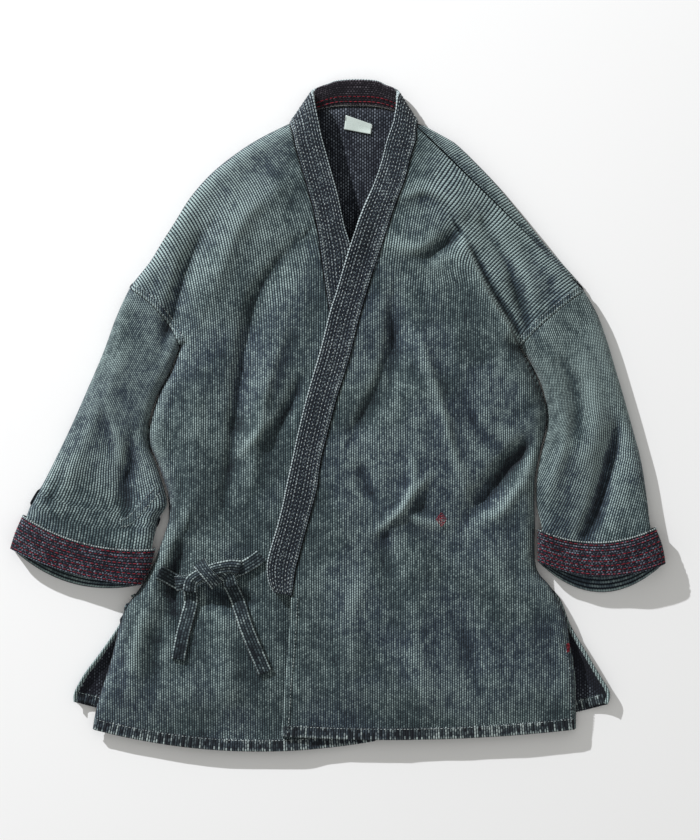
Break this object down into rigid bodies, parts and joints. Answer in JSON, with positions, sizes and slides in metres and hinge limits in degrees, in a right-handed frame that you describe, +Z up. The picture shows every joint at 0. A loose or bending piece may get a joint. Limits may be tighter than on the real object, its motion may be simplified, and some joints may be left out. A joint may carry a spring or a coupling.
{
  "type": "quilted martial arts gi jacket, laid flat",
  "caption": "Washed indigo quilted gi jacket laid flat: wide sleeves with turned-back cuffs, long collar band, lapped fronts closed by a knotted tie.",
  "frame": {"origin": "centre of the jacket's outline, on the surface it lies on", "axes": "+Z up from the surface, +Y from hem to neck, +X towards the wearer's left sleeve"},
  "size_m": [0.783, 0.8041, 0.0338],
  "materials": {
    "washed_indigo": "thick quilted cotton, dark indigo washed out along the ridges, rows of pale stitches",
    "band_indigo": "folded cotton band, stitched lengthwise, pale worn edges",
    "cuff_inside": "unfaded dark inside of the cloth with rows of red stitching",
    "tie_indigo": "flat cotton tape with pale worn edges",
    "label_cloth": "plain pale satin tab"
  },
  "bodies": {
    "root": {"back_panel": "washed_indigo", "right_front": "washed_indigo", "left_front": "washed_indigo", "collar_band": "band_indigo", "right_sleeve": "washed_indigo", "left_sleeve": "washed_indigo", "right_cuff": "cuff_inside", "left_cuff": "cuff_inside", "side_tie": "tie_indigo", "front_tie": "tie_indigo", "side_tie_tail": "tie_indigo", "front_tie_tail": "tie_indigo", "tie_knot": "tie_indigo", "neck_label": "label_cloth"}
  },
  "joints": []
}
